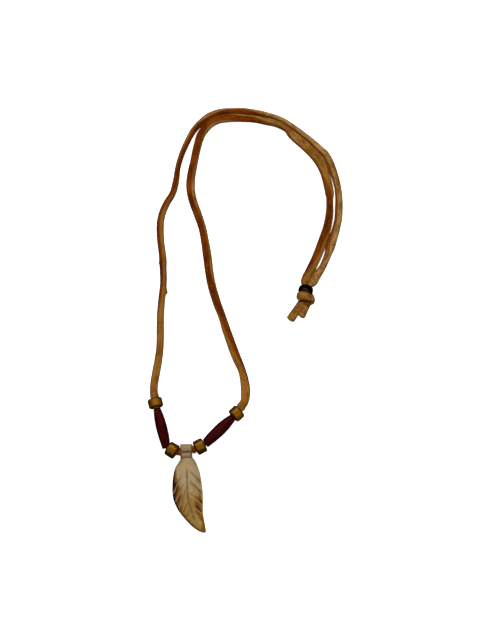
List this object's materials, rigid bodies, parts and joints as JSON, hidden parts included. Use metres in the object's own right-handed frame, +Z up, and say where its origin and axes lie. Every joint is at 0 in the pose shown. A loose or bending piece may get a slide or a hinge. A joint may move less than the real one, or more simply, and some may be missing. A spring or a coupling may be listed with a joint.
{
  "type": "bone necklace",
  "caption": "Knotted suede-lace necklace lying flat, with a carved bone feather pendant between brass barrel beads and dyed bone hairpipe beads, and a ring bead above the knot.",
  "frame": {"origin": "on the table, under the middle of the beads and the pendant", "axes": "+Z up from the table, +Y from the pendant's tip towards the top of the loop, +X to the right, towards the knot"},
  "size_m": [0.1244, 0.2798, 0.0095],
  "materials": {
    "suede_lace": "soft brushed suede, tan with rust-brown edges",
    "antique_brass": "satin antique brass, darker at the rims",
    "dyed_bone": "oxblood-dyed bone with a low polish and fine lengthwise grain",
    "carved_bone": "cream carved bone, scorched brown at the edges, low polish",
    "black_ring": "glossy black"
  },
  "bodies": {
    "root": {"lace": "suede_lace", "knot": "suede_lace", "barrel_bead_outer_left": "antique_brass", "barrel_bead_inner_left": "antique_brass", "barrel_bead_inner_right": "antique_brass", "barrel_bead_outer_right": "antique_brass", "hairpipe_left": "dyed_bone", "hairpipe_right": "dyed_bone", "feather_pendant": "carved_bone", "ring_bead": "black_ring"}
  },
  "joints": []
}
